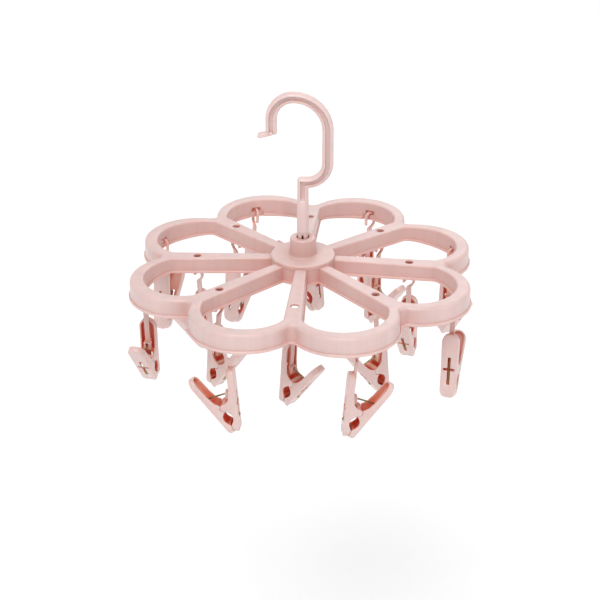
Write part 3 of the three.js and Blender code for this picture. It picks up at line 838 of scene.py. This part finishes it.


# Each plastic's colour carries painted shade in hollows and painted light on open faces, by ambient occlusion
# within the given distance
frame_plastic = pink_plastic("frame_plastic", 0.12, FRAME_PAINTED_SHADE)
hook_plastic = pink_plastic("hook_plastic", 0.02, HOOK_PAINTED_SHADE)
clip_plastic = pink_plastic("clip_plastic", 0.03, CLIP_PAINTED_SHADE)
steel = spring_wire()
place(make_frame(), frame_plastic, "pink_plastic", "frame", "frame")
place(make_hook(), hook_plastic, "pink_plastic", "hook", "hook")

meeting_line = Vector((math.sin(SPLAY / 2), 0, math.cos(SPLAY / 2)))
opposite = Matrix.Rotation(math.pi, 4, meeting_line)
hooked_shape = make_hooked_jaw()
plain_shape = smooth(make_jaw("plain_jaw_shape", False))
spring_shape = make_spring("spring_shape")
clips = sorted(name.removeprefix("clip_") for name in bodies if name.startswith("clip_"))
for clip in clips:
    pose = clip_pose(clip)
    for shape, prefix, body, turn in ((hooked_shape, "hooked_jaw", f"clip_{clip}", Matrix.Identity(4)),
                                      (plain_shape, "plain_jaw", f"jaw_{clip}", opposite)):
        jaw = bpy.data.objects.new(f"{prefix}_{clip}_shell", shape.data)
        bpy.context.scene.collection.objects.link(jaw)
        jaw.matrix_world = pose @ turn
        place(jaw, clip_plastic, "pink_plastic", body, f"{prefix}_{clip}")
    wire = bpy.data.objects.new(f"spring_{clip}_wire", spring_shape.data.copy())
    bpy.context.scene.collection.objects.link(wire)
    wire.matrix_world = pose
    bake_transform(wire)
    place(wire, steel, "spring_wire", None, f"spring_{clip}")
for shape in (hooked_shape, plain_shape, spring_shape):
    bpy.data.objects.remove(shape)


# ---- Camera, floor and light
CAMERA_AZIMUTH, CAMERA_ELEVATION = math.radians(4.16), math.radians(24.95)
CAMERA_DISTANCE = 1.2266
CAMERA_LENS = 98.9
AIM_LEFT, AIM_DOWN = 0.0021, 0.0307  # how far the view's centre is from the spokes' plane on the axis

on_axis = Vector((0, 0, (rim_top + 0.9) * MM))
back = Vector((math.sin(CAMERA_AZIMUTH) * math.cos(CAMERA_ELEVATION),
               -math.cos(CAMERA_AZIMUTH) * math.cos(CAMERA_ELEVATION), math.sin(CAMERA_ELEVATION)))
right = Vector((0, 0, 1)).cross(back).normalized()
up = back.cross(right)
camera = bpy.data.objects.new("camera", bpy.data.cameras.new("camera"))
bpy.context.scene.collection.objects.link(camera)
bpy.context.scene.camera = camera
camera.data.lens, camera.data.sensor_width = CAMERA_LENS, 36
camera.location = on_axis + back * CAMERA_DISTANCE
aim = on_axis - right * AIM_LEFT - up * AIM_DOWN
camera.rotation_mode = "QUATERNION"
camera.rotation_quaternion = (aim - camera.location).to_track_quat("-Z", "Y")
camera.data.clip_start, camera.data.clip_end = 0.05, 50


def add_light(name, kind, at, target, power, **settings):
    light = bpy.data.objects.new(name, bpy.data.lights.new(name, kind))
    light.data.energy = power
    for key, value in settings.items():
        setattr(light.data, key, value)
    light.location = at
    light.rotation_euler = (Vector(target) - Vector(at)).to_track_quat("-Z", "Y").to_euler()
    bpy.context.scene.collection.objects.link(light)


def make_floor(drop, size):
    mesh = bpy.data.meshes.new("floor")
    z = cad_box[0].z - drop
    corners = [(-size, -size, z), (size, -size, z), (size, size, z), (-size, size, z)]
    mesh.from_pydata(corners, [], [(0, 1, 2, 3)])
    floor = bpy.data.objects.new("floor", mesh)
    bpy.context.scene.collection.objects.link(floor)
    material = bpy.data.materials.new("floor")
    material.use_nodes = True
    material.node_tree.nodes["Principled BSDF"].inputs["Base Color"].default_value = (0.97, 0.97, 0.97, 1)
    material.node_tree.nodes["Principled BSDF"].inputs["Roughness"].default_value = 0.9
    mesh.materials.append(material)


make_floor(0.35, 12)
middle = (0, 0, rim_top * MM)
add_light("key", "SUN", (-0.2, -1.0, 1.6), middle, 1.62, angle=math.radians(35))
add_light("fill", "AREA", (1.4, -0.9, 0.4), middle, 2, size=0.8)
add_light("rear", "AREA", (0.3, 1.4, 0.9), middle, 4, size=1.0)
world = bpy.data.worlds.new("studio")
world.use_nodes = True
world.node_tree.nodes["Background"].inputs["Color"].default_value = (1, 1, 1, 1)
world.node_tree.nodes["Background"].inputs["Strength"].default_value = 0.6
bpy.context.scene.world = world
bpy.context.scene.view_settings.view_transform = "Standard"
